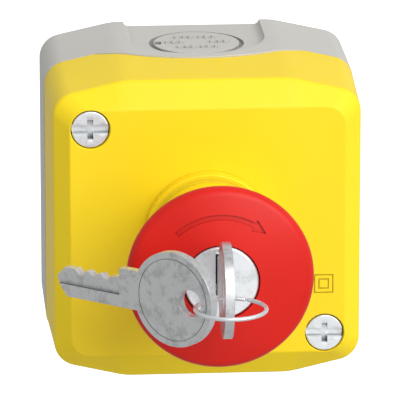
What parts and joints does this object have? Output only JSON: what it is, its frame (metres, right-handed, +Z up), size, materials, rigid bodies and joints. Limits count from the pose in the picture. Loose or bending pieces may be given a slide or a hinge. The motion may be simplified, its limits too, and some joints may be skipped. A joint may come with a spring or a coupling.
{
  "type": "emergency stop button",
  "caption": "Key-release emergency stop station: wall-mounted box with a lid, mushroom push button, lock with a key, key ring and spare key.",
  "frame": {"origin": "centre of the enclosure's rear face, where it meets the wall", "axes": "+Y into the wall, -Y out of the button towards the user, +Z up, +X to the right as seen from the front"},
  "size_m": [0.0684, 0.1224, 0.068],
  "materials": {
    "light_grey_plastic": "moulded, fine satin",
    "yellow_plastic": "moulded, satin",
    "red_plastic": "moulded, satin",
    "black_plastic": "moulded",
    "pale_plastic": "moulded",
    "black_rubber": "moulded nitrile",
    "nickel_plate": "satin plated",
    "nickel_silver": "stamped, tumbled",
    "plated_steel": "bright zinc plated",
    "die_cast_zinc": "as cast",
    "silvered_brass": "stamped"
  },
  "bodies": {
    "enclosure": {"rear_base": "light_grey_plastic", "front_lid": "yellow_plastic", "lid_gasket": "black_rubber", "cover_screw_upper": "plated_steel", "cover_screw_lower": "plated_steel", "button_bezel": "yellow_plastic", "bezel_gasket": "black_rubber", "neck_seal": "black_rubber", "operator_body": "black_plastic", "fixing_nut": "die_cast_zinc", "contact_carrier": "black_plastic", "carrier_screw": "plated_steel", "nc_housing": "pale_plastic", "no_housing": "pale_plastic", "nc_return_spring": "plated_steel", "no_return_spring": "plated_steel", "nc_upper_contact": "silvered_brass", "nc_upper_screw": "plated_steel", "nc_lower_contact": "silvered_brass", "nc_lower_screw": "plated_steel", "no_upper_contact": "silvered_brass", "no_upper_screw": "plated_steel", "no_lower_contact": "silvered_brass", "no_lower_screw": "plated_steel"},
    "head": {"mushroom_head": "red_plastic", "head_stem": "die_cast_zinc", "actuator_plate": "black_plastic", "lock_barrel": "die_cast_zinc"},
    "lock": {"lock_plug": "nickel_plate", "lock_cam": "die_cast_zinc"},
    "latch": {"latch_bolt": "plated_steel"},
    "key": {"inserted_key": "nickel_silver"},
    "ring": {"key_ring": "plated_steel"},
    "spare": {"spare_key": "nickel_silver"},
    "nc_switch": {"nc_plunger": "black_plastic", "nc_bridge": "silvered_brass"},
    "no_switch": {"no_plunger": "black_plastic", "no_bridge": "silvered_brass"}
  },
  "joints": [
    {"name": "head_press", "type": "slide", "parent": "enclosure", "child": "head", "axis": [0, 1, 0], "range_m": [0, 0.004]},
    {"name": "lock_turn", "type": "hinge", "parent": "head", "child": "lock", "pos_m": [0, -0.0906, 0], "axis": [0, 1, 0], "range_deg": [0, 45], "stiffness_Nm_per_rad": 0.03},
    {"name": "latch_slide", "type": "slide", "parent": "head", "child": "latch", "axis": [-1, 0, 0], "range_m": [0, 0.0013]},
    {"name": "key_withdraw", "type": "slide", "parent": "lock", "child": "key", "axis": [0, -1, 0], "range_m": [0, 0.02]},
    {"name": "ring_swing", "type": "hinge", "parent": "key", "child": "ring", "pos_m": [0, -0.1075, 0.0018], "axis": [1, 0, 0], "range_deg": [-75, 75]},
    {"name": "spare_key_swing", "type": "hinge", "parent": "ring", "child": "spare", "pos_m": [-0.00725, -0.11475, 0.0018], "axis": [0, -1, 0], "range_deg": [-20, 30]},
    {"name": "nc_plunger_slide", "type": "slide", "parent": "enclosure", "child": "nc_switch", "axis": [0, 1, 0], "range_m": [0, 0.004], "deforming": ["nc_return_spring"]},
    {"name": "no_plunger_slide", "type": "slide", "parent": "enclosure", "child": "no_switch", "axis": [0, 1, 0], "range_m": [0, 0.004], "deforming": ["no_return_spring"]}
  ],
  "couplings": [
    {"joint": "nc_plunger_slide", "follows": "head_press", "ratio": 1},
    {"joint": "no_plunger_slide", "follows": "head_press", "ratio": 1},
    {"joint": "latch_slide", "follows": "lock_turn", "m_per_rad": 0.0016}
  ]
}
